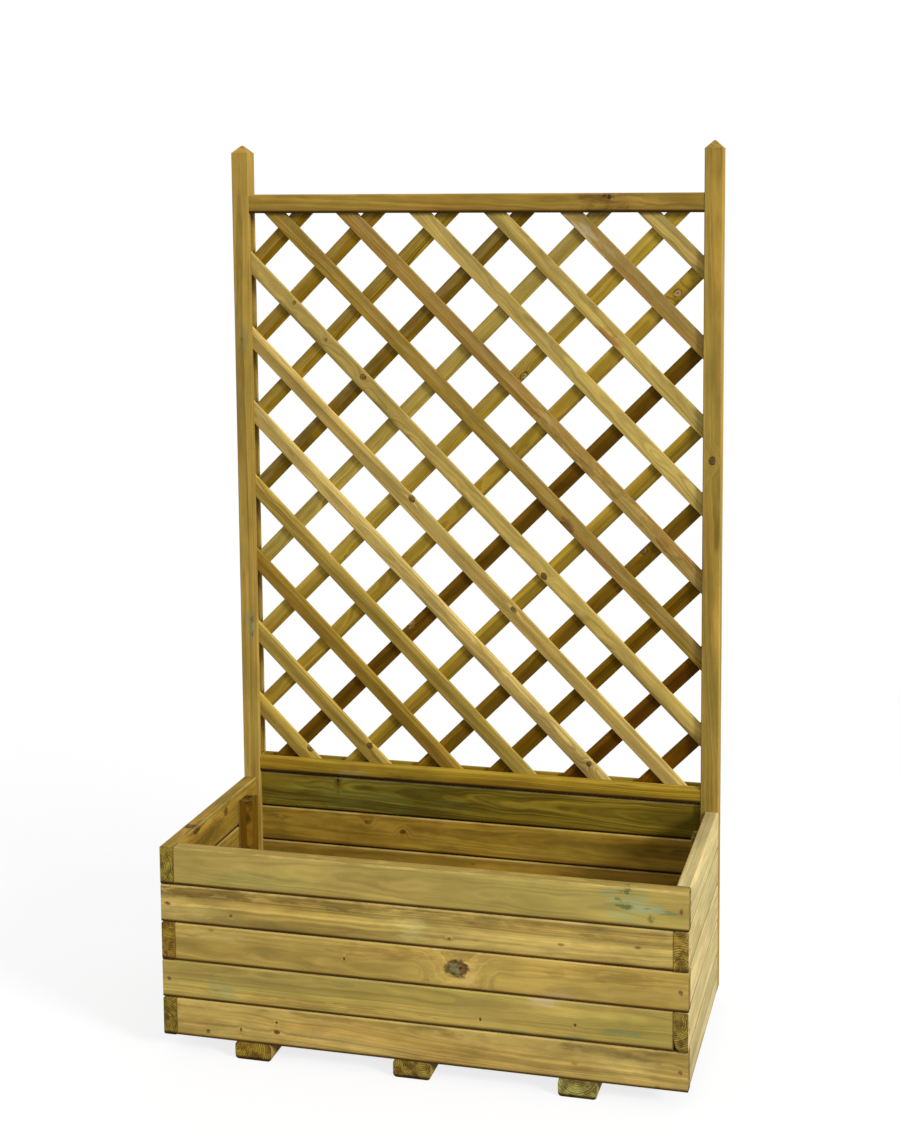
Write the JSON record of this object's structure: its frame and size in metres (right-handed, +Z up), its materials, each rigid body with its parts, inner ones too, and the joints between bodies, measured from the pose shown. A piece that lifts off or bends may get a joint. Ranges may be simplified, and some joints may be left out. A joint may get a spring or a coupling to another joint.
{
  "type": "planter with trellis",
  "caption": "Rectangular timber planter box on low bearers, with a framed diagonal lattice between two pointed posts at its back.",
  "frame": {"origin": "middle of the box's footprint, on the ground under the bearers", "axes": "+Z up, +X to the right seen from the front, -Y towards the front of the box, the lattice at +Y"},
  "size_m": [0.95, 0.42, 1.631],
  "materials": {
    "wall_boards": "planed softwood, pressure treated, pale green-khaki, unvarnished",
    "back_boards": "rough-sawn softwood, pressure treated, darker green",
    "bearers": "planed softwood, pressure treated",
    "floor": "sawn softwood, pressure treated",
    "battens": "sawn softwood, pressure treated",
    "posts": "planed softwood, pressure treated",
    "rails": "planed softwood, pressure treated",
    "laths": "planed softwood, pressure treated",
    "nails": "dull galvanised"
  },
  "bodies": {
    "root": {"front_board_1": "wall_boards", "left_board_1": "wall_boards", "right_board_1": "wall_boards", "back_board_1": "back_boards", "front_board_2": "wall_boards", "left_board_2": "wall_boards", "right_board_2": "wall_boards", "back_board_2": "back_boards", "front_board_3": "wall_boards", "left_board_3": "wall_boards", "right_board_3": "wall_boards", "back_board_3": "back_boards", "front_board_4": "wall_boards", "left_board_4": "wall_boards", "right_board_4": "wall_boards", "back_board_4": "back_boards", "front_board_5": "wall_boards", "left_board_5": "wall_boards", "right_board_5": "wall_boards", "back_board_5": "back_boards", "bearer_1": "bearers", "bearer_2": "bearers", "bearer_3": "bearers", "floor_boards": "floor", "corner_batten_front_left": "battens", "corner_batten_front_right": "battens", "corner_batten_rear_left": "battens", "corner_batten_rear_right": "battens", "left_post": "posts", "right_post": "posts", "top_rail": "rails", "bottom_rail": "rails", "front_lath_01": "laths", "front_lath_02": "laths", "front_lath_03": "laths", "front_lath_04": "laths", "front_lath_05": "laths", "front_lath_06": "laths", "front_lath_07": "laths", "front_lath_08": "laths", "front_lath_09": "laths", "front_lath_10": "laths", "front_lath_11": "laths", "front_lath_12": "laths", "front_lath_13": "laths", "back_lath_01": "laths", "back_lath_02": "laths", "back_lath_03": "laths", "back_lath_04": "laths", "back_lath_05": "laths", "back_lath_06": "laths", "back_lath_07": "laths", "back_lath_08": "laths", "back_lath_09": "laths", "back_lath_10": "laths", "back_lath_11": "laths", "back_lath_12": "laths", "back_lath_13": "laths", "nails": "nails"}
  },
  "joints": []
}
